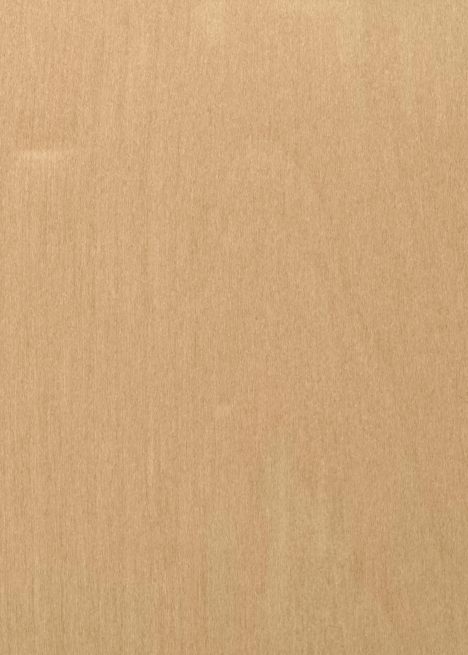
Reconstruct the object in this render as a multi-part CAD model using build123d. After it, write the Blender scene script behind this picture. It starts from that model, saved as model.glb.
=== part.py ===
from build123d import *
import os

# A plywood sheet cut to A3: birch veneers laid with their grain crossed, glued and pressed
# into one board, then sawn and sanded.
# Millimetres. X runs across the face grain and Y along it. The sheet lies on its back veneer,
# with the show face up, and the origin is the middle of the underside.

# The sheet's outline, at its outermost edges
sheet_width = 297.0
sheet_length = 420.0

# The veneers. The two outer ones are thinner than the rest because they are sanded.
face_veneer_thickness = 1.1
core_veneer_thickness = 1.4
crossband_count = 4

# The sawn edges. Sanding wears long grain more than end grain, so end grain stands proud.
end_grain_stand = 0.1
corner_radius = 0.8
arris_radius = 0.3

# A crossband lies between two veneers that run along the sheet, so the count is always odd
# and both faces have the same grain direction.
veneer_count = 2 * crossband_count + 1


def veneer_thickness(index):
    """The thickness of one veneer, counted from the back."""
    is_outer = index in (0, veneer_count - 1)
    return face_veneer_thickness if is_outer else core_veneer_thickness


def veneer_outline(index):
    """One veneer's outline: full size where its fibres end, set back where they run past."""
    long_grain_setback = 2 * end_grain_stand
    runs_along_sheet = index % 2 == 0
    if runs_along_sheet:
        return RectangleRounded(sheet_width - long_grain_setback, sheet_length, corner_radius)
    return RectangleRounded(sheet_width, sheet_length - long_grain_setback, corner_radius)


def pressed_veneers():
    """All the veneers, stacked from the back up and bonded into one solid."""
    with BuildPart() as board:
        height = 0.0
        for index in range(veneer_count):
            with BuildSketch(Plane.XY.offset(height)):
                add(veneer_outline(index))
            extrude(amount=veneer_thickness(index))
            height += veneer_thickness(index)
    return board.part


def eased(board):
    """The board with the sharp arris taken off round its face and its back."""
    flats = board.faces().filter_by(Axis.Z).sort_by(Axis.Z)
    arrises = flats[0].outer_wire().edges() + flats[-1].outer_wire().edges()
    return fillet(arrises, arris_radius)


plywood_sheet = eased(pressed_veneers())

os.makedirs("parts", exist_ok=True)
export_step(plywood_sheet, "parts/plywood_sheet.step")
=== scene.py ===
import bpy
import math
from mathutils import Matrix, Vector


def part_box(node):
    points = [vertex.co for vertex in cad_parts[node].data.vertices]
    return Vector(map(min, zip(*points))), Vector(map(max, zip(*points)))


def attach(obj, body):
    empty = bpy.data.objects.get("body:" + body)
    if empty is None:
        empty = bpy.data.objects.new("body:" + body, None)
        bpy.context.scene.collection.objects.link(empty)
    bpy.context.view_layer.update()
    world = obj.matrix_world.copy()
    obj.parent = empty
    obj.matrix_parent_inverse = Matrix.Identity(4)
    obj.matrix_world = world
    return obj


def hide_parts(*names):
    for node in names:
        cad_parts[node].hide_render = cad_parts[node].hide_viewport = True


# A birch plywood sheet, lying flat with its show face up.
# Metres, in the CAD model's frame: X runs across the face grain and Y along it, the underside
# is at zero and the origin is its middle. Sizes below are in millimetres unless a comment says
# otherwise, and so are the wood's patterns. Lightness is in hundredths of the wood's own.

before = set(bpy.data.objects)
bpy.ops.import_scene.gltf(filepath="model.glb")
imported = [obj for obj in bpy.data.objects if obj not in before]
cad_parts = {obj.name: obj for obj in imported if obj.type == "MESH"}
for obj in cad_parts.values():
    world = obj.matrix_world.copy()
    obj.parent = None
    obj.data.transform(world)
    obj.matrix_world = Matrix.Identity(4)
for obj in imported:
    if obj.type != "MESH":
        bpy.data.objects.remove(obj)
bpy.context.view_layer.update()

millimetre = 0.001
metre_in_mm = 1000.0
scene = bpy.context.scene

# The board's outline is the CAD solid's, and so is its make-up: an odd number of veneers,
# the outer two thinner because they are sanded, and end grain standing a little proud
sheet_low, sheet_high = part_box("plywood_sheet")
sheet_width, sheet_length, sheet_thickness = (sheet_high - sheet_low) * metre_in_mm
crossband_count = 4
veneer_count = 2 * crossband_count + 1
face_veneer = 1.1
core_veneer = (sheet_thickness - 2 * face_veneer) / (veneer_count - 2)
end_grain_stand = 0.1
corner_radius = 0.8
arris_radius = 0.3
arc_steps = 4

# The core veneers are laid edge to edge, and here and there a joint stays a little open. The
# joints lie within a share of the sheet to each side of its middle, and their slots are cut
# longer than the sheet.
joint_share = 0.6
joint_gap_least = 0.15
joint_gap_most = 0.6
joint_spread = 0.42
slot_overrun = 1.1
glue_line = 0.1
weld_distance = 0.001

# What the board is laid up from, with its sizes in metres
board_inputs = {
    "Width": sheet_width * millimetre,
    "Length": sheet_length * millimetre,
    "Thickness": sheet_thickness * millimetre,
    "Veneers": veneer_count,
    "Face Veneer": face_veneer * millimetre,
    "Core Veneer": core_veneer * millimetre,
    "End Grain Stand": end_grain_stand * millimetre,
    "Corner Radius": corner_radius * millimetre,
    "Arris Radius": arris_radius * millimetre,
    "Arc Steps": arc_steps,
    "Joint Share": joint_share,
    "Joint Gap Least": joint_gap_least * millimetre,
    "Joint Gap Most": joint_gap_most * millimetre,
    "Glue Line": glue_line * millimetre,
    "Seed": 4,
}

# The view: the camera looks straight down, and the face fills the frame just inside its arrises
frame_width_px = 468
frame_height_px = 655
view_width = 295.6
lens_mm = 85.0
sensor_mm = 36.0

# The studio, in metres and watts: a soft lamp up on the left beyond the head, even white
# surroundings, and a floor that fades into them. The floor lies a little below the board and is
# open under it.
key_place = (-0.6, 0.8, 1.55)
key_size = 1.1
key_power = 17.1
surround_light = 0.522
floor_half = 3.0
fade_start = 0.6
fade_end = 2.4
floor_white = "#E9E8E5"
floor_drop = 0.05 * millimetre
opening_inset = 1.0 * millimetre

# The figure of the face. Each year's growth ends in a thin dark line, and the next begins pale.
# On the left the lines run up the sheet. The grain bows towards the head and the foot: a bow is a
# list of places along the sheet and how far the grain lies to the right there, and then a list of
# places across the sheet and how much of the bow shows there.
bows = {
    "left bow": (
        ((-212, 3.6), (-100, 0.8), (-40, 0), (80, 0), (120, 2.0), (160, 4.5), (212, 7.5)),
        ((-60, 1.0), (-37, 1.4), (0, 0.8), (30, 0)),
    ),
    "right bow": (
        ((-212, 13.0), (-100, 5.5), (0, 1.0), (60, -2.0), (140, -6.0), (212, -7.5)),
        ((40, 0), (70, 1.0)),
    ),
}
year_lines = (-145, -129.5, -118.5, -111, -101, -88.5, -73.5, -55.5, -37)
year_line_width = 1.0
last_year_width = 14
year_line_wander = 2.0
year_line_mean = 0.8
year_line_variety = 3.0
year_end_light = 0.5
year_line_light = -10.0
year_start_light = 6.0
ring_strength = 0.65

# Further right the knife ran out of one year's growth into the next, and a year's edge is an
# arch: points on it from left to right, and how clear the edge is there
arches = {
    "outer arch": (
        (-31, 22, 2), (-29, 32, 3), (-25, 52, 3), (-20, 67, 3), (-13, 83, 3), (-5, 103, 4),
        (1, 118, 5), (13, 125, 7), (28, 121, 6), (34, 115, 6), (38, 109, 6), (44, 104, 4),
        (50, 95, 4), (54, 85, 4), (58, 73, 3.5), (66, 45, 4), (72, 20, 4), (80, 2, 3.5),
        (92, -12, 4), (97, -20, 4), (101, -28, 4), (104, -38, 3), (113, -80, 2), (120, -103, 2.5),
        (127, -122, 4), (136, -148, 3), (148, -185, 2.5),
    ),
    "inner arch": (
        (-19, 28, 1), (-16, 38, 2), (-12, 50, 3), (-7, 64, 4), (-4, 75, 3), (8, 80, 1),
        (18, 75, 2), (23, 67, 4), (33, 67, 3), (40, 60, 4), (47, 53, 4.5), (53, 42, 5.5),
        (57, 32, 5.5), (61, 18, 6.5), (64, 2, 5.5), (68, -17, 3.5), (74, -30, 2),
    ),
    "head arch": (
        (92, 190, 1), (96, 165, 2), (101, 130, 4.5), (104, 112, 5.5), (107, 98, 4.5), (109, 88, 3),
        (115, 66, 2.5), (120, 42, 3), (127, 18, 4), (130, 8, 4), (134, -15, 3), (146, -48, 2),
    ),
    "edge arch": (
        (113, 152, 1), (116, 135, 3), (119, 112, 2), (126, 82, 2), (132, 64, 3), (138, 48, 3),
        (143, 38, 4), (148, 27, 4),
    ),
    "foot arch": (
        (86, -156, 1), (92, -166, 3), (97, -176, 4), (101, -184, 3), (106, -194, 3),
        (112, -207, 2.5),
    ),
    "side arch": (
        (124, -150, 1), (130, -163, 3), (136, -185, 2.5), (141, -203, 2.5),
    ),
}

# Lightness across an arch: 1 on the pale band below its line and about -1 on it. The unit is the
# millimetre where the arch is steep, and the band is wider where the arch is level.
across_arch = (
    (-12, 0), (-8.5, 0.5), (-5.5, 1.0), (-2.8, 0.5), (-1.1, -0.7), (0, -1.1), (1.2, -0.8), (3.5, 0),
)
level_widening = 1.2
arch_fade = 4
arch_variety = 2.0
arch_tint = 0.02

# A fibre is drawn as wide as one pixel of the view, because the real ones, about 0.03 mm wide,
# are too fine to show. Its body, a share of that width, is what differs from fibre to fibre. Pale
# fibres stand out a little more than dark ones. Fibres side by side start at places of their own,
# spread over so many lengths.
fibre_width = view_width / frame_width_px
body_share = 0.7
pale_lean = 0.02
fibre_stagger = 9.0

# Layers of fibres, each a length, a rarity, where its pattern starts and how strongly it shows.
# Some show more strongly with each millimetre towards the head, or where the knife ran along them.
short_fibres = {
    "pores": (1.15, 3, 11.3, 62.0, 0.03, 0),
    "short fibres": (3.0, 1, 19.7, 20.5),
    "middling fibres": (8.0, 3, 3.1, 26.0),
}
long_fibres = {
    "long lines": (40.0, 3, 15.9, 8.0, 0, 21.0),
    "long fibres": (18.0, 1, 7.7, 5.0),
}

# How far the fibres wander in ripples and in bends, and the lightness of soft streaks among them
ripple_reach = 0.15
bend_reach = 1.2
fine_streak_light = 3.0
cloud_light = 4.0
long_streak_light = 5.0

# Tints run from pinkish at 0 to greenish at 1: the face's own, and what a green area adds to it.
# Where the wood is lighter, blue gains most and red least.
pinkish_birch = "#D1A473"
greenish_birch = "#CAA571"
face_tint = 0.39
area_tint = 0.54
hundredth = 0.01
lightness_by_colour = (0.68, 1.0, 1.62)
sanded_relief = 0.02

# A face's own material covers what is at least so level, from 0 where it is upright to 1
least_level = 0.3

# The fibres draw arches, areas and marks out into tongues along the grain. A mark has faded to
# half at one share of its half width, and fades over another share to each side of that.
tongue_reach = 22.0
tongue_wander = 5.0
area_softness = 1.8
mark_edge = 0.95
mark_softness = 0.55
sharp_mark_softness = 0.4

# The back is a little duller, and its tint changes from band to band
back_dullness = 3.0
back_tint = 0.5
back_band_tint = 2.0

# Single marks on the face, each a middle, a half width and a half length, then how much lighter it
# is, and for some how much greener, or pinker where that is below zero. Most are the wood's own,
# but the broad pale and dark ones at the head, the foot and the right, and the three brightest
# patches and the right side at the head, are painted sheen and painted shade from the lamp.
marks = {
    # Whole parts of the face
    # Painted sheen and light at the head, where the lamp's light is strongest
    "painted sheen at the head": (45, 225, 190, 95, 6),
    "painted sheen at the head right": (75, 215, 95, 58, 4),
    # Painted shade towards the foot and the right, where the lamp's light falls off
    "painted shade at the foot": (0, -230, 170, 62, -3.1),
    "painted shade at the foot right": (105, -205, 80, 75, -3.2),
    "painted shade on the right": (130, -20, 50, 130, -2.8),
    "dark left": (-110, 50, 60, 95, -1.2),
    # Pale and dark patches at the head, and round the fleck. The three brightest head patches and
    # the head right are painted sheen.
    # Painted sheen along the head
    "painted sheen patch 1": (-13, 196, 9, 18, 13, 0.25),
    "painted sheen patch 2": (50, 206, 26, 8, 15, 0.4),
    "painted sheen patch 3": (73, 186, 8, 22, 11),
    "head patch 4": (-118, 204, 4, 12, 7),
    "head patch 5": (104, 207, 5, 9, 5),
    "head patch 6": (-58, 170, 5, 19, 7),
    "head patch 7": (-79, 138, 5, 20, 5.6),
    "head patch 8": (-143, 206, 7, 8, 4.5),
    # Painted sheen at the head's right
    "head right": (130, 185, 28, 34, 5),
    "head glow": (52, 184, 14, 20, 2.8),
    "right glow 1": (76, 110, 11, 12, 4.2),
    "right glow 2": (130, 123, 5, 18, 3.6),
    "head streak 1": (109, 162, 3.6, 30, 8, 0.55),
    "head streak 2": (129, 142, 3, 18, 7),
    "head streak 3": (79.5, 143, 4.2, 16, 3.5, 0.6),
    "head streak 4": (-66, 158, 1.7, 19, 13),
    "head streak 5": (-128, 182, 1.4, 24, 7),
    "head streak 6": (139, 141, 9, 6, 1.5, 0.5),
    "head shade 1": (-83, 172, 3.6, 13, -7.5, -0.1),
    "head shade 2": (-67.5, 190, 1.8, 17, -8.4),
    "head shade 3": (-48.5, 190, 2.2, 16, -7),
    "head shade 4": (-108, 160, 17, 22, -3, -0.25),
    "head shade 5": (-88, 152, 2.2, 8, -5.5),
    "head shade 6": (84.5, 192, 2.4, 15, -6),
    "head shade 7": (85, 155, 4.5, 11, -4),
    "head shade 8": (-98, 194, 5, 13, -3.4),
    "over the fleck": (-121, 126, 20, 12, -8.5, -0.12),
    "fleck glow": (-118, 102, 24, 11, 5.5),
    # On the left
    "left glow 1": (-136, 84, 2.5, 26, 6.3),
    "left glow 2": (-113, -105, 5, 20, 3),
    "left glow 3": (-82, -176, 5, 13, 3.2),
    "left glow 4": (-43, -91, 4, 15, 2.6),
    "left edge glow": (-149, -80, 5, 42, 3.4),
    "stripe 1": (-105, -40, 2, 42, 5.6),
    "stripe 2": (-77.5, -42, 4.6, 103, 3.6),
    "stripe 3": (-48, 56, 4, 58, 4.6),
    "stripe 4": (-30, -110, 3, 60, 4.2),
    "stripe 5": (-53, -75, 1.8, 50, 5.6),
    "stripe 6": (-125, -110, 3, 90, 4.2),
    "left shade 1": (-108, 68, 14, 22, -5.5),
    "left shade 2": (-43, -140, 3.4, 30, -6, -0.1),
    "left shade 3": (-35, 110, 2, 22, -5.6),
    "left shade 4": (-128.5, 76, 1.6, 22, -6),
    "arch foot 1": (-25, -35, 1.6, 62, -6),
    "arch foot 2": (-18.5, -160, 1.8, 48, -5.5),
    "arch leg 1": (-29.5, 32, 3, 11, -5.2),
    "arch leg 2": (-24.5, 54, 2.8, 12, -8.5),
    "arch leg 3": (-18.5, 69, 2.6, 9, -5),
    "arch leg 4": (-5.5, 69, 2.2, 8, -6),
    "arch leg 5": (-14.5, 44, 2.2, 9, -4),
    "arch leg glow": (-31, 15, 9, 9, 3.6),
    "dark column": (-46, -190, 3.5, 30, -3.5),
    "green column 1": (-7.5, -168, 11.5, 46, 0.5, 0.6),
    "green column 2": (-33, -184, 3.2, 24, 0, 0.45),
    # Inside the arches
    "arch hollow": (10, 102, 18, 8, 3),
    "inner hollow": (2, 56, 10, 10, 3.5),
    "hollow brow": (15, 84, 6, 8, 2.4),
    "middle glow 1": (4, -28, 5, 16, 2.6),
    "middle glow 2": (-20, -62, 6, 20, 2),
    "middle shade": (63, -64, 9, 34, -3.2),
    # The flame, and what lies beside it
    "pale patch": (-8, -92, 12, 40, 2.5),
    "pale patch foot": (-10, -131, 11, 14, 5, 0.3),
    "flame shade 1": (15.5, -98, 3, 24, -6),
    "flame shade 2": (19.5, -130, 3, 13, -9, -0.2),
    "flame shade 3": (18, -152, 3.2, 16, -9, -0.1),
    "flame shade 4": (13.5, -190, 3.2, 20, -6.4),
    "beside the flame": (8, -145, 7, 17, -3.4),
    "beside the flame foot": (5, -182, 5, 18, -1.5),
    "over the flame": (19, -50, 15, 26, -2.5, -0.38),
    "left of the tip": (9, -72, 6, 14, -1.5, -0.3),
    "flame brow 1": (27, -61, 5, 6, -5),
    "flame brow 2": (36, -75, 3, 7, -7),
    "flame side": (47, -79, 7, 9, -2.8, -0.4),
    "dark tongue 1": (44.5, -93, 2.4, 11, -9, -0.1),
    "dark tongue 2": (49.5, -99, 3.2, 11, -11, 0.15),
    "dark tongue 3": (60.5, -99, 2.4, 8, -6, 0.1),
    "dark tongue 4": (66, -108, 2.8, 6, -7, 0.2),
    "dark tongue 5": (79, -152, 4.4, 14, -11, 0.1),
    "dark tongue 6": (97, -175, 3.5, 8, -4, 0.1),
    "pale tongue": (56, -92, 1.8, 9, 6),
    "flame ground": (42, -155, 34, 55, 1.8),
    "flame low": (52, -193, 30, 20, 3),
    "flame body": (28, -142, 8, 62, 2.2),
    "flame heart 1": (30.5, -113, 2.6, 42, 8.5),
    "flame heart 2": (54, -128, 5, 19, 8.4),
    "flame heart 3": (43, -114, 4, 14, 5.6),
    "flame heart 4": (26, -168, 6, 26, 3.4),
    "flame heart 5": (21.5, -90, 1.6, 12, 6),
    "pink tongue": (41.5, -139, 5.5, 19, 0, -0.7),
    "right shade": (96, -158, 8, 24, -2.5, 0.1),
    "foot glow": (82, -176, 5, 13, 5.2),
}

# Small marks with an edge of their own across the grain, in the same terms
sharp_marks = {
    # The pale fleck across the grain
    "fleck": (-115.5, 109.3, 20, 3.3, 7, -0.1),
    "fleck head": (-124, 106.8, 12.5, 6, 6),
    "fleck core 1": (-130, 108.2, 6, 2.4, 6),
    "fleck core 2": (-122, 108.9, 4.5, 2.4, 4.5),
    "fleck core 3": (-112.5, 108.6, 5.5, 3.2, 7, -0.15),
    "fleck core 4": (-103, 111, 3.8, 2.6, 7.5),
    "fleck tail": (-92, 112, 8, 1.8, 8),
    "fleck brow": (-132, 113.8, 6, 1.8, -5, -0.4),
    # The pin knot, with the fibres parting round it
    "pin knot glow": (-7.5, -53.5, 6, 5, 5),
    "pin knot": (-9.3, -53, 1.6, 4.6, 13),
    "pin knot side": (-3.8, -51.6, 2.2, 3, 11),
    "pin knot brow": (-6.5, -44.4, 4.6, 2.6, -7),
    # Single fibres that sanding lifted
    "fibre 1": (-85.8, 140, 0.35, 6, 9),
    "fibre 2": (-134.5, 150, 0.35, 5, 9),
    "fibre 3": (-92, 115, 0.35, 4, 8),
    "fibre 4": (-106, -97, 0.35, 11, 9),
    # Small patches and nicks
    "pale patch by the arch": (-5, 56, 4, 3.4, 8),
    "dark speck": (64.7, 1.3, 0.8, 0.8, -16),
    "edge nick 1": (146.5, -19.5, 1.8, 0.45, -12),
    "edge nick 2": (141.5, 122, 5.5, 0.4, -6),
}

# Where the wood looks a little greener, each area bounded by straight edges, as it looks in the
# photograph: a point on the edge and the direction, in degrees from X, that leads inside
green_areas = {
    "flame tip": ((21, -140, 0), (28, -66, -90), (38, -80, -172)),
    "flame side": ((14, -100, 0), (18, -86, -90), (21, -100, 180), (18, -118, 90)),
    "flame": ((38, -140, 0), (45, -106, -90), (74, -140, 180)),
    "flame heel": ((14, -180, 0), (21, -180, 180), (18, -165, -90)),
    "flame foot": ((74, -190, 0), (73, -152, -145)),
    "foot corner": ((-128, -180, 180), (-138, -167, -90)),
    "foot left": ((-128, -170, 0), (-90, -170, 180), (-110, -150, -90)),
    "foot middle": ((-90, -170, 0), (-50, -180, 180), (-70, -163, -90)),
    "right strip": ((106, -90, 0), (116, -90, 180), (111, -76, -90), (111, -114, 90)),
    "right foot": ((98, -150, 0), (120, -114, -90), (108, -170, 28)),
    "right corner": ((95, -200, 0), (110, -188, -90)),
    "head corner": ((84, 198, 0), (100, 192, 90)),
    "head middle": ((104, 190, 0), (124, 190, 180), (112, 180, 90), (112, 192, -90)),
    "head side": ((124, 175, 0), (135, 159, 90), (135, 192, -90)),
    "head edge": ((68, 186, 16), (84, 180, 180), (75, 166, 90)),
}

# The glue fades out at so many widths of its line from its middle.
long_grain_birch = "#CCA678"
end_grain_birch = "#A87C50"
glue_brown = "#5E4129"
glue_cover = 0.75
glue_fade = 1.1
pore_size = (0.35, 9.0, 0.35)
pore_light = 55.0
patch_size = (14.0, 60.0, 3.0)
patch_light = 26.0
patch_softness = 0.1
veneer_light = 9.0
veneer_shift = (37.7, 53.9, 0)
check_spacing = 2.6
check_slope = 0.9
check_half_width = 0.156
check_unevenness = 5.0
check_light = -22.0
sawn_relief = 0.05


def add(tree, kind, sockets=(), operation=None, **settings):
    """Adds a node with its operation and settings, sets or links its sockets, which are given in
    order or by name, and returns its first output."""
    node = tree.nodes.new(kind)
    if operation:
        node.operation = operation
    for name, value in settings.items():
        setattr(node, name, value)
    given = sockets if isinstance(sockets, dict) else dict(enumerate(sockets))
    for key, value in given.items():
        named = [socket for socket in node.inputs if socket.name == key and socket.enabled]
        socket = node.inputs[key] if isinstance(key, int) else named[0]
        if isinstance(value, bpy.types.NodeSocket):
            tree.links.new(value, socket)
        else:
            socket.default_value = value
    shown = [output for output in node.outputs if output.enabled]
    return shown[0] if shown else node


def linear(hex_colour):
    """An sRGB hex colour as linear red, green, blue and alpha."""
    parts = [int(hex_colour[k:k + 2], 16) / 255 for k in (1, 3, 5)]
    return (*[p / 12.92 if p <= 0.04045 else ((p + 0.055) / 1.055) ** 2.4 for p in parts], 1.0)


def new_material(name):
    """An empty material and its tree."""
    material = bpy.data.materials.new(name)
    material.use_nodes = True
    material.node_tree.nodes.clear()
    return material, material.node_tree


def place_in_mm(tree):
    """Where on the sheet a point lies, in millimetres."""
    place = add(tree, "ShaderNodeTexCoord").node.outputs["Object"]
    return add(tree, "ShaderNodeVectorMath", {0: place, "Scale": metre_in_mm}, "SCALE")


def total(tree, parts, start=0.0):
    """The sum of signals, each times its weight."""
    result = start
    for signal, weight in parts:
        result = add(tree, "ShaderNodeMath", [signal, weight, result], "MULTIPLY_ADD")
    return result


def stretched(tree, place, across, along, shift):
    """The place counted in cells of a width across the grain and a length along it."""
    cell = (1 / across, 1 / along, 1 / across)
    start = (shift, 1.7 * shift, 0)
    return add(tree, "ShaderNodeVectorMath", [place, cell, start], "MULTIPLY_ADD")


def soft_streaks(tree, place, across, along, shift, detail=0.0):
    """Streaks that fade at their ends, with their usual width and length. They lie round 0."""
    point = stretched(tree, place, across, along, shift)
    streaks = add(tree, "ShaderNodeTexNoise", {"Vector": point, "Scale": 1.0, "Detail": detail},
                  noise_dimensions="2D")
    return add(tree, "ShaderNodeMath", [streaks, 0.5], "SUBTRACT")


def fibre_body(tree, place):
    """1 in the body of a fibre, and 0 in the plain wood between two."""
    across = add(tree, "ShaderNodeSeparateXYZ", [place])
    inward = add(tree, "ShaderNodeMath", [across, 0.5 * fibre_width], "PINGPONG")
    return add(tree, "ShaderNodeMath", [inward, 0.5 * (1 - body_share) * fibre_width],
               "GREATER_THAN")


def fibre_middle(tree, place):
    """The place moved across the grain to the middle of the fibre it lies in, so that a fibre is
    of one lightness from side to side."""
    split = add(tree, "ShaderNodeSeparateXYZ", [place]).node.outputs
    side = add(tree, "ShaderNodeMath", [split["X"], fibre_width], "SNAP")
    middle = add(tree, "ShaderNodeMath", [side, 0.5 * fibre_width], "ADD")
    return add(tree, "ShaderNodeCombineXYZ", [middle, split["Y"], split["Z"]])


def crisp_fibres(tree, place, along, shift, rarity):
    """Fibres side by side, each of one lightness from end to end and ending where it likes. They
    lie round 0. With a higher, odd rarity fewer of them stand out from the rest."""
    point = stretched(tree, place, fibre_width, along, shift)
    point = add(tree, "ShaderNodeSeparateXYZ", [point]).node.outputs
    fibre = add(tree, "ShaderNodeMath", [point["X"]], "FLOOR")
    start = add(tree, "ShaderNodeTexWhiteNoise", {"W": fibre}, noise_dimensions="1D")
    piece = add(tree, "ShaderNodeMath", [start, fibre_stagger, point["Y"]], "MULTIPLY_ADD")
    piece = add(tree, "ShaderNodeMath", [piece], "FLOOR")
    piece = add(tree, "ShaderNodeCombineXYZ", [fibre, piece])
    lightness = add(tree, "ShaderNodeTexWhiteNoise", {"Vector": piece}, noise_dimensions="2D")
    either_way = add(tree, "ShaderNodeMath", [lightness, 2.0, pale_lean - 1.0], "MULTIPLY_ADD")
    standing_out = add(tree, "ShaderNodeMath", [either_way, rarity], "POWER")
    return add(tree, "ShaderNodeMath", [standing_out, 0.5], "MULTIPLY")


def read_off(tree, distance, levels):
    """A value read from a list of distances and the value at each, with straight lines between."""
    first = levels[0][0]
    span = levels[-1][0] - first
    values = [value for level, value in levels]
    least = min(values)
    most = max(values)
    share = add(tree, "ShaderNodeMath", [distance, 1 / span, -first / span], "MULTIPLY_ADD")
    grey = add(tree, "ShaderNodeValToRGB", [share])
    elements = grey.node.color_ramp.elements
    while len(elements) < len(levels):
        elements.new(0.5)
    for element, (level, value) in zip(elements, levels):
        element.position = (level - first) / span
        lightness = (value - least) / (most - least)
        element.color = (lightness, lightness, lightness, 1)
    return add(tree, "ShaderNodeMath", [grey, most - least, least], "MULTIPLY_ADD")


def straightened(tree, place):
    """The place with the grain's bows taken out of it, so that its lines run straight up."""
    split = add(tree, "ShaderNodeSeparateXYZ", [place]).node.outputs
    push = total(tree, [(read_off(tree, split["Y"], bow), read_off(tree, split["X"], share))
                        for bow, share in bows.values()])
    offset = add(tree, "ShaderNodeCombineXYZ", [push])
    return add(tree, "ShaderNodeVectorMath", [place, offset], "SUBTRACT")


def straight_rings(tree, place):
    """The lightness of the straight rings on the left, stronger and weaker along each line."""
    wander = soft_streaks(tree, place, across=30.0, along=80.0, shift=67.3)
    across = add(tree, "ShaderNodeSeparateXYZ", [place])
    across = add(tree, "ShaderNodeMath", [wander, year_line_wander, across], "MULTIPLY_ADD")
    levels = [(year_lines[0] - 3 * year_line_width, 0)]
    for line in year_lines:
        levels.append((line - year_line_width, year_end_light))
        levels.append((line, year_line_light))
        levels.append((line + year_line_width, year_start_light))
    levels.append((year_lines[-1] + last_year_width, 0))
    light = read_off(tree, across, levels)
    strength = soft_streaks(tree, place, across=9.0, along=45.0, shift=61.9)
    strength = add(tree, "ShaderNodeMath", [strength, year_line_variety, year_line_mean],
                   "MULTIPLY_ADD")
    return add(tree, "ShaderNodeMath", [light, strength], "MULTIPLY")


def arch_edge(tree, place, points):
    """The lightness beside an arch, as clear along it as its points say."""
    split = add(tree, "ShaderNodeSeparateXYZ", [place]).node.outputs
    line = [(x, y) for x, y, clear in points]
    height = read_off(tree, split["X"], line)
    next_x = add(tree, "ShaderNodeMath", [split["X"], 1.0], "ADD")
    next_height = read_off(tree, next_x, line)
    slope = add(tree, "ShaderNodeMath", [next_height, height], "SUBTRACT")
    run = add(tree, "ShaderNodeMath", [slope, slope, 1.0], "MULTIPLY_ADD")
    run = add(tree, "ShaderNodeMath", [run], "SQRT")
    run = add(tree, "ShaderNodeMath", [run, level_widening], "ADD")
    over = add(tree, "ShaderNodeMath", [split["Y"], height], "SUBTRACT")
    away = add(tree, "ShaderNodeMath", [over, run], "DIVIDE")
    light = read_off(tree, away, across_arch)
    clearness = [(points[0][0] - arch_fade, 0), *[(x, clear) for x, y, clear in points],
                 (points[-1][0] + arch_fade, 0)]
    return add(tree, "ShaderNodeMath", [light, read_off(tree, split["X"], clearness)], "MULTIPLY")


def mark_cover(tree, place, x, y, half_width, half_length, softness):
    """How much a mark covers this place: 1 in its middle, and 0 outside."""
    scale = (1 / half_width, 1 / half_length, 0)
    middle = (-x / half_width, -y / half_length, 0)
    point = add(tree, "ShaderNodeVectorMath", [place, scale, middle], "MULTIPLY_ADD")
    away = add(tree, "ShaderNodeVectorMath", [point], "LENGTH").node.outputs["Value"]
    return add(tree, "ShaderNodeMapRange",
               {"Value": away, "From Min": mark_edge + softness, "From Max": mark_edge - softness},
               interpolation_type="SMOOTHSTEP")


def area_cover(tree, place, edges):
    """1 inside an area bounded by straight edges, and 0 outside."""
    inside = sheet_length
    for x, y, direction in edges:
        inward = (math.cos(math.radians(direction)), math.sin(math.radians(direction)), 0)
        depth = add(tree, "ShaderNodeVectorMath", [place, inward],
                    "DOT_PRODUCT").node.outputs["Value"]
        start = x * inward[0] + y * inward[1]
        from_edge = add(tree, "ShaderNodeMath", [depth, start], "SUBTRACT")
        inside = add(tree, "ShaderNodeMath", [from_edge, inside], "MINIMUM")
    return add(tree, "ShaderNodeMapRange",
               {"Value": inside, "From Min": -area_softness, "From Max": area_softness},
               interpolation_type="SMOOTHSTEP")


def wavy_grain(tree, place, shift):
    """The place pushed a little across the grain, so that the fibres wander."""
    ripple = soft_streaks(tree, place, across=3.0, along=6.0, shift=5.3 + shift)
    bend = soft_streaks(tree, place, across=12.0, along=30.0, shift=9.1 + shift)
    push = total(tree, [(ripple, ripple_reach), (bend, bend_reach)])
    offset = add(tree, "ShaderNodeCombineXYZ", [push])
    return add(tree, "ShaderNodeVectorMath", [place, offset], "ADD")


def ragged_grain(tree, place):
    """The place pushed along the grain fibre by fibre, so that edges across it end in tongues."""
    tongues = soft_streaks(tree, place, across=1.6, along=60.0, shift=41.6, detail=2.0)
    wander = soft_streaks(tree, place, across=30.0, along=60.0, shift=53.2, detail=1.0)
    aside = add(tree, "ShaderNodeMath", [wander, tongue_wander], "MULTIPLY")
    along = add(tree, "ShaderNodeMath", [tongues, tongue_reach], "MULTIPLY")
    offset = add(tree, "ShaderNodeCombineXYZ", [aside, along])
    return add(tree, "ShaderNodeVectorMath", [place, offset], "ADD")


def cut_along_fibres(tree, place):
    """How far the knife ran along the fibres, so that they show as long lines: 1 at the lower
    left, falling to 0 under the arches and towards the head, where it cut them short."""
    lean = 0.35
    none_from = 80.0
    full_from = -110.0
    split = add(tree, "ShaderNodeSeparateXYZ", [place]).node.outputs
    aside = add(tree, "ShaderNodeMath", [split["Y"], lean, split["X"]], "MULTIPLY_ADD")
    return add(tree, "ShaderNodeMapRange",
               {"Value": aside, "From Min": none_from, "From Max": full_from})


def layered_fibres(tree, grain, layers, shift, places, start=0.0):
    """The lightness of layers of fibres together. Places are how far towards the head and how
    far cut along its fibres the wood is."""
    parts = []
    for length, rarity, origin, strength, *gains in layers.values():
        fibres = crisp_fibres(tree, grain, length, origin + shift, rarity)
        changing = [(place, gain) for place, gain in zip(places, gains) if gain]
        parts.append((fibres, total(tree, changing, strength)))
    return total(tree, parts, start)


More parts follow.
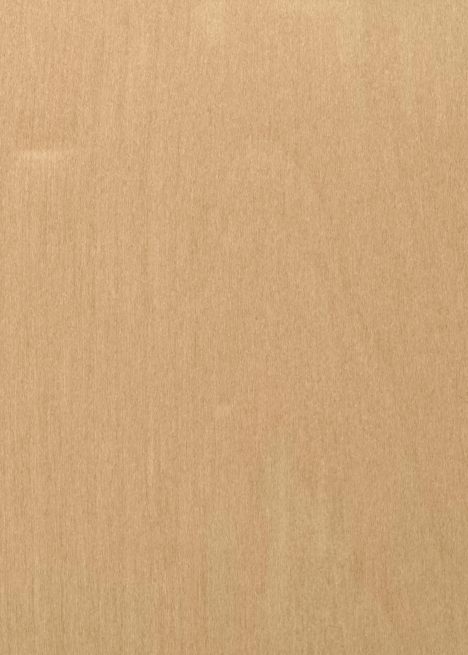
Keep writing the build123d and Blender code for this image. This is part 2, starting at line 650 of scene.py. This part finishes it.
def grain_light(tree, place, grain, shift):
    """What can be felt of the fibres, and their whole lightness. Place says which fibre body a
    point lies in, and grain how the fibres run there."""
    wavy = wavy_grain(tree, grain, shift)
    height = add(tree, "ShaderNodeSeparateXYZ", [place]).node.outputs["Y"]
    places = (height, cut_along_fibres(tree, place))
    body = fibre_body(tree, place)
    short = layered_fibres(tree, wavy, short_fibres, shift, places)
    every = layered_fibres(tree, wavy, long_fibres, shift, places, short)
    felt = add(tree, "ShaderNodeMath", [short, body], "MULTIPLY")
    fine = soft_streaks(tree, wavy, across=2.0, along=90.0, shift=17.2 + shift)
    clouds = soft_streaks(tree, grain, across=7.0, along=22.0, shift=23.9 + shift, detail=1.0)
    long = soft_streaks(tree, grain, across=4.5, along=220.0, shift=29.4 + shift)
    light = total(tree, [(every, body), (fine, fine_streak_light), (clouds, cloud_light),
                         (long, long_streak_light)])
    return felt, light


def finish_birch(tree, light, tint, relief):
    """The wood's colour from its lightness, in hundredths, and its tint, on a sanded bare
    surface. Where it is lighter it is a little less yellow."""
    paler = add(tree, "ShaderNodeMath", [light, hundredth], "MULTIPLY")
    share = add(tree, "ShaderNodeVectorMath", {0: lightness_by_colour, "Scale": paler}, "SCALE")
    share = add(tree, "ShaderNodeVectorMath", [share, (1, 1, 1)], "ADD")
    hue = add(tree, "ShaderNodeMix", {"Factor": tint, "A": linear(pinkish_birch),
                                      "B": linear(greenish_birch)}, data_type="RGBA")
    colour = add(tree, "ShaderNodeVectorMath", [hue, share], "MULTIPLY")
    height = add(tree, "ShaderNodeMath", [relief, hundredth], "MULTIPLY")
    bump = add(tree, "ShaderNodeBump", {
        "Strength": 1.0, "Distance": sanded_relief * millimetre, "Height": height})
    surface = add(tree, "ShaderNodeBsdfPrincipled",
                  {"Base Color": colour, "Roughness": 0.55, "IOR": 1.5, "Normal": bump})
    add(tree, "ShaderNodeOutputMaterial", {"Surface": surface})


def show_face():
    """Birch peeled from the log and sanded: close faint fibres, and the arches of the growth. Its
    head carries painted sheen, and its foot and right side painted shade.
    """
    material, tree = new_material("peeled_birch_show_face_and_painted_sheen")
    place = place_in_mm(tree)
    grain = straightened(tree, fibre_middle(tree, place))
    ragged = ragged_grain(tree, place)
    relief, fibres = grain_light(tree, place, grain, shift=0.0)
    light_parts = [(straight_rings(tree, grain), ring_strength)]
    breaks = soft_streaks(tree, place, across=5.0, along=12.0, shift=33.7)
    broken = add(tree, "ShaderNodeMath", [breaks, arch_variety, 1.0], "MULTIPLY_ADD")
    tint_parts = [(area_cover(tree, ragged, edges), area_tint) for edges in green_areas.values()]
    for points in arches.values():
        edge = arch_edge(tree, ragged, points)
        light_parts.append((edge, broken))
        tint_parts.append((edge, arch_tint))
    for known, where, softness in ((marks, ragged, mark_softness),
                                   (sharp_marks, place, sharp_mark_softness)):
        for x, y, half_width, half_length, light, *tints in known.values():
            cover = mark_cover(tree, where, x, y, half_width, half_length, softness)
            light_parts.append((cover, light))
            tint_parts += [(cover, tint) for tint in tints]
    light = total(tree, light_parts, fibres)
    tint = total(tree, tint_parts, face_tint)
    finish_birch(tree, light, tint, relief)
    return material


def back_face():
    """The back veneer: the same birch, a shade duller, with straighter and plainer grain."""
    material, tree = new_material("peeled_birch_back_face")
    place = place_in_mm(tree)
    relief, light = grain_light(tree, place, fibre_middle(tree, place), shift=71.0)
    duller = add(tree, "ShaderNodeMath", [light, back_dullness], "SUBTRACT")
    bands = soft_streaks(tree, place, across=25.0, along=160.0, shift=83.0)
    tint = total(tree, [(bands, back_band_tint)], back_tint)
    finish_birch(tree, duller, tint, relief)
    return material


def in_solid_wood(tree, place, size):
    """A pattern with cells of a size in mm, right through the wood. It lies round 0."""
    cells = add(tree, "ShaderNodeVectorMath", [place, tuple(1 / side for side in size)], "MULTIPLY")
    pattern = add(tree, "ShaderNodeTexNoise", {"Vector": cells, "Scale": 1.0, "Detail": 2.0})
    return add(tree, "ShaderNodeMath", [pattern, 0.5], "SUBTRACT")


def lathe_checks(tree, place, patches):
    """Fine slanting cracks that the knife opened across a veneer, in some patches of it only."""
    across = (1 / check_spacing, 0, check_slope / check_spacing)
    slant = add(tree, "ShaderNodeVectorMath", [place, across], "DOT_PRODUCT").node.outputs["Value"]
    uneven = add(tree, "ShaderNodeTexNoise", {"Vector": place, "Scale": 0.25, "Detail": 1.0})
    slant = add(tree, "ShaderNodeMath", [uneven, check_unevenness, slant], "MULTIPLY_ADD")
    from_crack = add(tree, "ShaderNodeMath", [slant, 0.5], "PINGPONG")
    cracks = add(tree, "ShaderNodeMapRange",
                 {"Value": from_crack, "From Min": check_half_width / check_spacing,
                  "From Max": 0.0})
    some = add(tree, "ShaderNodeMapRange",
               {"Value": patches, "From Min": -patch_softness, "From Max": patch_softness})
    return add(tree, "ShaderNodeMath", [cracks, some], "MULTIPLY")


def sawn_edge():
    """Sawn and sanded edges: pale bands of long grain between darker bands of end grain, with
    the dark lines of the glue. The glue lines are drawn about twice as wide as the real ones,
    which are too fine to show."""
    material, tree = new_material("sawn_birch_edge")
    place = place_in_mm(tree)
    split = add(tree, "ShaderNodeSeparateXYZ", [place]).node.outputs
    level = add(tree, "ShaderNodeMath", [split["Z"], face_veneer], "SUBTRACT")
    level = add(tree, "ShaderNodeMath", [level, core_veneer], "DIVIDE")
    veneer = add(tree, "ShaderNodeMath", [level], "FLOOR")
    lengthwise = add(tree, "ShaderNodeMath", [veneer, 2.0], "FLOORED_MODULO")
    crosswise = add(tree, "ShaderNodeMath", [1.0, lengthwise], "SUBTRACT")

    # Each veneer's own frame: X across its grain and Y along it
    turned = add(tree, "ShaderNodeCombineXYZ", [split["Y"], split["X"], split["Z"]])
    in_veneer = add(tree, "ShaderNodeMix", {"Factor": crosswise, "A": place, "B": turned},
                    data_type="VECTOR")
    own_shift = add(tree, "ShaderNodeVectorMath", {0: veneer_shift, "Scale": veneer}, "SCALE")
    in_veneer = add(tree, "ShaderNodeVectorMath", [in_veneer, own_shift], "ADD")

    # How far this surface is cut across the fibres
    facing = add(tree, "ShaderNodeTexCoord").node.outputs["Normal"]
    facing = add(tree, "ShaderNodeVectorMath", [facing], "ABSOLUTE")
    side = add(tree, "ShaderNodeSeparateXYZ", [facing]).node.outputs
    end_grain = add(tree, "ShaderNodeMix", {"Factor": crosswise, "A": side["Y"], "B": side["X"]})

    # Pores show as streaks on long grain and as dots on end grain, and checks on end grain only
    pores = in_solid_wood(tree, in_veneer, pore_size)
    patches = in_solid_wood(tree, in_veneer, patch_size)
    checks = add(tree, "ShaderNodeMath", [lathe_checks(tree, in_veneer, patches), end_grain],
                 "MULTIPLY")
    own_shade = add(tree, "ShaderNodeTexWhiteNoise", {"W": veneer}, noise_dimensions="1D")
    own_shade = add(tree, "ShaderNodeMath", [own_shade, 0.5], "SUBTRACT")
    light = total(tree, [(pores, pore_light), (patches, patch_light), (own_shade, veneer_light),
                         (checks, check_light)], 100.0)
    light = add(tree, "ShaderNodeMath", [light, hundredth], "MULTIPLY")

    from_glue = add(tree, "ShaderNodeMath", [level, 0.5], "PINGPONG")
    glue = add(tree, "ShaderNodeMapRange", {
        "Value": from_glue, "From Min": glue_fade * glue_line / core_veneer,
        "From Max": 0.5 * glue_line / core_veneer})
    glued = add(tree, "ShaderNodeMath", [glue, glue_cover], "MULTIPLY")
    wood = add(tree, "ShaderNodeMix", {"Factor": end_grain, "A": linear(long_grain_birch),
                                       "B": linear(end_grain_birch)}, data_type="RGBA")
    wood = add(tree, "ShaderNodeVectorMath", {0: wood, "Scale": light}, "SCALE")
    colour = add(tree, "ShaderNodeMix", {"Factor": glued, "A": wood, "B": linear(glue_brown)},
                 data_type="RGBA")
    relief = add(tree, "ShaderNodeBump", {
        "Strength": 1.0, "Distance": sawn_relief * millimetre, "Height": light})
    surface = add(tree, "ShaderNodeBsdfPrincipled",
                  {"Base Color": colour, "Roughness": 0.75, "IOR": 1.5, "Normal": relief})
    add(tree, "ShaderNodeOutputMaterial", {"Surface": surface})
    return material


def new_geometry_tree(name, inputs):
    """An empty Geometry Nodes tree with named inputs. Returns it and its input sockets."""
    tree = bpy.data.node_groups.new(name, "GeometryNodeTree")
    tree.interface.new_socket("Mesh", in_out="OUTPUT", socket_type="NodeSocketGeometry")
    tree.interface.new_socket("Mesh", in_out="INPUT", socket_type="NodeSocketGeometry")
    for label, value in inputs.items():
        kind = "NodeSocketInt" if isinstance(value, int) else "NodeSocketFloat"
        tree.interface.new_socket(label, in_out="INPUT", socket_type=kind)
    return tree, tree.nodes.new("NodeGroupInput").outputs


def made_by(tree, name, inputs):
    """Runs a Geometry Nodes tree once and returns what it makes as a plain mesh."""
    start = bpy.data.objects.new(name + "_start", bpy.data.meshes.new(name + "_start"))
    scene.collection.objects.link(start)
    modifier = start.modifiers.new("nodes", "NODES")
    modifier.node_group = tree
    for item in tree.interface.items_tree:
        if item.in_out == "INPUT" and item.name in inputs:
            modifier[item.identifier] = inputs[item.name]
    evaluated = start.evaluated_get(bpy.context.evaluated_depsgraph_get())
    piece = bpy.data.objects.new(name, bpy.data.meshes.new_from_object(evaluated))
    bpy.data.objects.remove(start)
    scene.collection.objects.link(piece)
    return piece


def full_outline(tree, given, edge):
    """A face with the board's full outline. Returns it with two things kept on its points: where
    each lies, and which way is out from the board there."""
    square = add(tree, "GeometryNodeCurvePrimitiveQuadrilateral",
                 {"Width": given["Width"], "Height": given["Length"]})
    rounded = add(tree, "GeometryNodeFilletCurve", mode="POLY").node
    tree.links.new(square, rounded.inputs["Curve"])
    tree.links.new(given["Corner Radius"], rounded.inputs["Radius"])
    tree.links.new(given["Arc Steps"], rounded.inputs["Count"])
    face = add(tree, "GeometryNodeFillCurve", {"Curve": rounded.outputs["Curve"]}, mode="NGONS")
    face = add(tree, "GeometryNodeSetMaterial", {"Geometry": face, "Material": edge})
    position = add(tree, "GeometryNodeInputPosition")
    half = add(tree, "ShaderNodeCombineXYZ", [given["Width"], given["Length"]])
    half = add(tree, "ShaderNodeVectorMath", {0: half, "Scale": 0.5}, "SCALE")
    corner = add(tree, "ShaderNodeCombineXYZ", [given["Corner Radius"], given["Corner Radius"]])
    centre = add(tree, "ShaderNodeVectorMath", [half, corner], "SUBTRACT")
    quarter = add(tree, "ShaderNodeVectorMath", [position], "SIGN")
    centre = add(tree, "ShaderNodeVectorMath", [quarter, centre], "MULTIPLY")
    spoke = add(tree, "ShaderNodeVectorMath", [position, centre], "SUBTRACT")
    spoke = add(tree, "ShaderNodeVectorMath", [spoke], "NORMALIZE")
    kept = tree.nodes.new("GeometryNodeCaptureAttribute")
    kept.capture_items.new("VECTOR", "Outline")
    kept.capture_items.new("VECTOR", "Outward")
    tree.links.new(face, kept.inputs["Geometry"])
    tree.links.new(position, kept.inputs["Outline"])
    tree.links.new(spoke, kept.inputs["Outward"])
    return kept.outputs["Geometry"], (kept.outputs["Outline"], kept.outputs["Outward"])


def level_outline(tree, ring, insets, height):
    """The board's outline at a height, set in from its full one by one amount across the sheet
    and another along it. Round a corner one inset turns smoothly into the other."""
    outline, outward = ring
    squared = add(tree, "ShaderNodeVectorMath", [outward, outward], "MULTIPLY")
    both_ways = add(tree, "ShaderNodeCombineXYZ", insets)
    inset = add(tree, "ShaderNodeVectorMath", [squared, both_ways],
                "DOT_PRODUCT").node.outputs["Value"]
    inward = add(tree, "ShaderNodeVectorMath", {0: outward, "Scale": inset}, "SCALE")
    flat = add(tree, "ShaderNodeVectorMath", [outline, inward], "SUBTRACT")
    up = add(tree, "ShaderNodeCombineXYZ", {"Z": height})
    return add(tree, "ShaderNodeVectorMath", [flat, up], "ADD")


def raised(tree, mesh, top, ring, insets, height):
    """Draws the top of the board to a height and the outline there. Returns the mesh and its
    new top."""
    drawn = add(tree, "GeometryNodeExtrudeMesh", {
        "Mesh": mesh, "Selection": top, "Offset Scale": 0.0, "Individual": False}).node.outputs
    placed = add(tree, "GeometryNodeSetPosition", {
        "Geometry": drawn["Mesh"], "Selection": drawn["Top"],
        "Position": level_outline(tree, ring, insets, height)})
    return placed, drawn["Top"]


def eased_arris(tree, mesh, top, ring, given, level, rise_and_inset):
    """Takes the top of the board round an arris from a level, in steps of an arc. Its rise and its
    inset, both in arris radii, follow from how far it has turned."""
    for step in range(1, arc_steps + 1):
        rise, inset = rise_and_inset(math.radians(90) * step / arc_steps)
        height = add(tree, "ShaderNodeMath", [given["Arris Radius"], rise, level], "MULTIPLY_ADD")
        inset_y = add(tree, "ShaderNodeMath", [given["Arris Radius"], inset], "MULTIPLY")
        inset_x = add(tree, "ShaderNodeMath", [inset_y, given["End Grain Stand"]], "ADD")
        mesh, top = raised(tree, mesh, top, ring, (inset_x, inset_y), height)
    return mesh, top


def stacked_veneers(tree, mesh, top, ring, given, highest):
    """Lays up the veneers, one in each pass: a ledge at its underside, and then its edge."""
    loop_start = tree.nodes.new("GeometryNodeRepeatInput")
    loop_end = tree.nodes.new("GeometryNodeRepeatOutput")
    loop_start.pair_with_output(loop_end)
    loop_end.repeat_items.new("BOOLEAN", "Top")
    tree.links.new(given["Veneers"], loop_start.inputs["Iterations"])
    tree.links.new(mesh, loop_start.inputs["Geometry"])
    tree.links.new(top, loop_start.inputs["Top"])
    number = loop_start.outputs["Iteration"]
    crosswise = add(tree, "ShaderNodeMath", [number, 2.0], "MODULO")
    lengthwise = add(tree, "ShaderNodeMath", [1.0, crosswise], "SUBTRACT")
    insets = [add(tree, "ShaderNodeMath", [set_in, given["End Grain Stand"]], "MULTIPLY")
              for set_in in (lengthwise, crosswise)]
    head = add(tree, "ShaderNodeMath", [number, given["Core Veneer"], given["Face Veneer"]],
               "MULTIPLY_ADD")
    foot = add(tree, "ShaderNodeMath", [head, given["Core Veneer"]], "SUBTRACT")
    foot = add(tree, "ShaderNodeMath", [foot, given["Arris Radius"]], "MAXIMUM")
    head = add(tree, "ShaderNodeMath", [head, highest], "MINIMUM")
    mesh = loop_start.outputs["Geometry"]
    top = loop_start.outputs["Top"]
    for height in (foot, head):
        mesh, top = raised(tree, mesh, top, ring, insets, height)
    tree.links.new(mesh, loop_end.inputs["Geometry"])
    tree.links.new(top, loop_end.inputs["Top"])
    return loop_end.outputs["Geometry"], loop_end.outputs["Top"]


def joint_slots(tree, given, edge):
    """The open joints of the core: slots along their veneers' grain, right through the board."""
    number = add(tree, "GeometryNodeInputIndex")
    lengthwise = add(tree, "ShaderNodeMath", [number, 2.0], "MODULO")
    crosswise = add(tree, "ShaderNodeMath", [1.0, lengthwise], "SUBTRACT")
    core_count = add(tree, "ShaderNodeMath", [given["Veneers"], 2.0], "SUBTRACT")
    first_middle = add(tree, "ShaderNodeMath", [given["Core Veneer"], 0.5, given["Face Veneer"]],
                       "MULTIPLY_ADD")
    levels = add(tree, "GeometryNodeMeshLine", {
        "Count": core_count,
        "Start Location": add(tree, "ShaderNodeCombineXYZ", {"Z": first_middle}),
        "Offset": add(tree, "ShaderNodeCombineXYZ", {"Z": given["Core Veneer"]})})
    place = add(tree, "FunctionNodeRandomValue", {
        "Min": -joint_spread, "Max": joint_spread, "ID": number, "Seed": given["Seed"]})
    shift_x = add(tree, "ShaderNodeMath", [place, given["Width"]], "MULTIPLY")
    shift_x = add(tree, "ShaderNodeMix", {"Factor": crosswise, "A": shift_x, "B": 0.0})
    shift_y = add(tree, "ShaderNodeMath", [place, given["Length"]], "MULTIPLY")
    shift_y = add(tree, "ShaderNodeMix", {"Factor": crosswise, "A": 0.0, "B": shift_y})
    joints = add(tree, "GeometryNodeSetPosition", {
        "Geometry": levels, "Offset": add(tree, "ShaderNodeCombineXYZ", [shift_x, shift_y])})
    next_seed = add(tree, "ShaderNodeMath", [given["Seed"], 1.0], "ADD")
    gap = add(tree, "FunctionNodeRandomValue", {
        "Min": given["Joint Gap Least"], "Max": given["Joint Gap Most"], "ID": number,
        "Seed": next_seed})
    past_x = add(tree, "ShaderNodeMath", [given["Width"], slot_overrun], "MULTIPLY")
    past_y = add(tree, "ShaderNodeMath", [given["Length"], slot_overrun], "MULTIPLY")
    size = add(tree, "ShaderNodeCombineXYZ", [
        add(tree, "ShaderNodeMix", {"Factor": crosswise, "A": gap, "B": past_x}),
        add(tree, "ShaderNodeMix", {"Factor": crosswise, "A": past_y, "B": gap}),
        add(tree, "ShaderNodeMath", [given["Core Veneer"], given["Glue Line"]],
            "SUBTRACT")])
    chosen = add(tree, "FunctionNodeRandomValue", {
        "Probability": given["Joint Share"], "ID": number, "Seed": given["Seed"]},
        data_type="BOOLEAN")
    block = add(tree, "GeometryNodeMeshCube", {"Size": (1, 1, 1)})
    block = add(tree, "GeometryNodeSetMaterial", {"Geometry": block, "Material": edge})
    return add(tree, "GeometryNodeInstanceOnPoints", {
        "Points": joints, "Selection": chosen, "Instance": block, "Scale": size})


def with_peeled_faces(tree, board, highest, lowest, show, back):
    """Gives the two peeled faces their own materials, which reach over their arrises as far as
    these are fairly level."""
    normal = add(tree, "ShaderNodeSeparateXYZ", [add(tree, "GeometryNodeInputNormal")]).node
    position = add(tree, "ShaderNodeSeparateXYZ", [add(tree, "GeometryNodeInputPosition")]).node
    for material, sense, limit in ((show, 1.0, highest), (back, -1.0, lowest)):
        upward = add(tree, "ShaderNodeMath", [normal.outputs["Z"], sense], "MULTIPLY")
        flat = add(tree, "FunctionNodeCompare", {"A": upward, "B": least_level}, "GREATER_THAN")
        past = add(tree, "ShaderNodeMath", [position.outputs["Z"], limit], "SUBTRACT")
        past = add(tree, "ShaderNodeMath", [past, sense], "MULTIPLY")
        outer = add(tree, "FunctionNodeCompare", {"A": past, "B": 0.0}, "GREATER_THAN")
        both = add(tree, "FunctionNodeBooleanMath", [flat, outer], "AND")
        board = add(tree, "GeometryNodeSetMaterial",
                    {"Geometry": board, "Selection": both, "Material": material})
    return board


def laid_up_board(show, back, edge):
    """The board, laid up veneer by veneer from the back, each set in where its grain runs along
    the edge, with its arrises eased and its core joints open."""
    tree, given = new_geometry_tree("laid_up_board", board_inputs)
    radius = given["Arris Radius"]
    highest = add(tree, "ShaderNodeMath", [given["Thickness"], radius], "SUBTRACT")
    face, ring = full_outline(tree, given, edge)
    inset_x = add(tree, "ShaderNodeMath", [radius, given["End Grain Stand"]], "ADD")
    ground = level_outline(tree, ring, (inset_x, radius), 0.0)
    mesh = add(tree, "GeometryNodeSetPosition", {"Geometry": face, "Position": ground})
    underside = add(tree, "GeometryNodeFlipFaces", [mesh])
    mesh, top = eased_arris(tree, mesh, True, ring, given, 0.0,
                            lambda turn: (1 - math.cos(turn), 1 - math.sin(turn)))
    mesh, top = stacked_veneers(tree, mesh, top, ring, given, highest)
    mesh, top = eased_arris(tree, mesh, top, ring, given, highest,
                            lambda turn: (math.sin(turn), 1 - math.cos(turn)))
    closed = add(tree, "GeometryNodeJoinGeometry")
    tree.links.new(mesh, closed.node.inputs[0])
    tree.links.new(underside, closed.node.inputs[0])
    board = add(tree, "GeometryNodeMergeByDistance",
                {"Geometry": closed, "Distance": weld_distance * millimetre})
    board = add(tree, "GeometryNodeMeshBoolean",
                {"Mesh 1": board, "Mesh 2": joint_slots(tree, given, edge)},
                "DIFFERENCE", solver="EXACT")
    board = add(tree, "GeometryNodeRealizeInstances", {"Geometry": board})
    board = with_peeled_faces(tree, board, highest, radius, show, back)
    output = tree.nodes.new("NodeGroupOutput")
    tree.links.new(board, output.inputs["Mesh"])
    return made_by(tree, "laid_up_board", board_inputs)


def softbox(name, place, size, power):
    """A round soft lamp that faces the board's middle."""
    lamp = bpy.data.lights.new(name, "AREA")
    lamp.shape = "DISK"
    lamp.size = size
    lamp.energy = power
    lamp_object = bpy.data.objects.new(name, lamp)
    lamp_object.location = place
    lamp_object.rotation_euler = (-Vector(place)).to_track_quat("-Z", "Y").to_euler()
    scene.collection.objects.link(lamp_object)


def seen_directly(tree):
    """1 for a ray that comes straight from the camera, or by way of glass or a mirror."""
    kinds = add(tree, "ShaderNodeLightPath").node.outputs
    seen = 0.0
    for kind in ("Is Camera Ray", "Is Glossy Ray", "Is Transmission Ray"):
        seen = add(tree, "ShaderNodeMath", [seen, kinds[kind]], "MAXIMUM")
    return seen


def white_studio():
    """Even white surroundings, lighting the board less brightly than they look."""
    world = bpy.data.worlds.new("white_studio")
    world.use_nodes = True
    world.node_tree.nodes.clear()
    tree = world.node_tree
    strength = add(tree, "ShaderNodeMix", {"Factor": seen_directly(tree), "A": surround_light,
                                           "B": 1.0})
    sky = add(tree, "ShaderNodeBackground", {"Color": (1, 1, 1, 1), "Strength": strength})
    add(tree, "ShaderNodeOutputWorld", {"Surface": sky})
    return world


def matt_floor():
    """A pale matt floor, which fades far off into the white behind it. From below it is clear,
    so that the board's back can be seen."""
    material, tree = new_material("matt_pale_floor")
    matt = add(tree, "ShaderNodeBsdfPrincipled",
               {"Base Color": linear(floor_white), "Roughness": 0.9, "IOR": 1.5})
    white = add(tree, "ShaderNodeEmission", {"Color": (1, 1, 1, 1), "Strength": 1.0})
    place = add(tree, "ShaderNodeTexCoord").node.outputs["Object"]
    away = add(tree, "ShaderNodeVectorMath", [place], "LENGTH").node.outputs["Value"]
    far = add(tree, "ShaderNodeMapRange", {
        "Value": away, "From Min": fade_start, "From Max": fade_end},
        interpolation_type="SMOOTHSTEP")
    faded = add(tree, "ShaderNodeMath", [far, seen_directly(tree)], "MULTIPLY")
    above = add(tree, "ShaderNodeMixShader", [faded, matt, white])
    from_below = add(tree, "ShaderNodeNewGeometry").node.outputs["Backfacing"]
    clear = add(tree, "ShaderNodeBsdfTransparent")
    surface = add(tree, "ShaderNodeMixShader", [from_below, above, clear])
    add(tree, "ShaderNodeOutputMaterial", {"Surface": surface})
    return material


def open_floor():
    """The floor, open under the board, so that the back gets light when it is seen from below."""
    opening_x = 0.5 * sheet_width * millimetre - opening_inset
    opening_y = 0.5 * sheet_length * millimetre - opening_inset
    corners = [(x * half_x, y * half_y, -floor_drop)
               for half_x, half_y in ((floor_half, floor_half), (opening_x, opening_y))
               for x, y in ((-1, -1), (1, -1), (1, 1), (-1, 1))]
    sides = [(k, (k + 1) % 4, 4 + (k + 1) % 4, 4 + k) for k in range(4)]
    mesh = bpy.data.meshes.new("floor")
    mesh.from_pydata(corners, [], sides)
    mesh.materials.append(matt_floor())
    floor = bpy.data.objects.new("floor", mesh)
    scene.collection.objects.link(floor)
    return floor


def overhead_camera():
    """The camera, straight above the board, at the distance from which the view is filled."""
    data = bpy.data.cameras.new("camera")
    data.lens = lens_mm
    data.sensor_width = sensor_mm
    camera = bpy.data.objects.new("camera", data)
    view_height = view_width * frame_height_px / frame_width_px
    distance = view_height / sensor_mm * lens_mm
    camera.location = (0, 0, sheet_high.z + distance * millimetre)
    scene.collection.objects.link(camera)
    return camera


board = laid_up_board(show_face(), back_face(), sawn_edge())
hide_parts("plywood_sheet")
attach(board, "root")

scene.view_settings.view_transform = "Standard"
softbox("key_softbox", key_place, key_size, key_power)
scene.world = white_studio()
floor = open_floor()
scene.camera = overhead_camera()
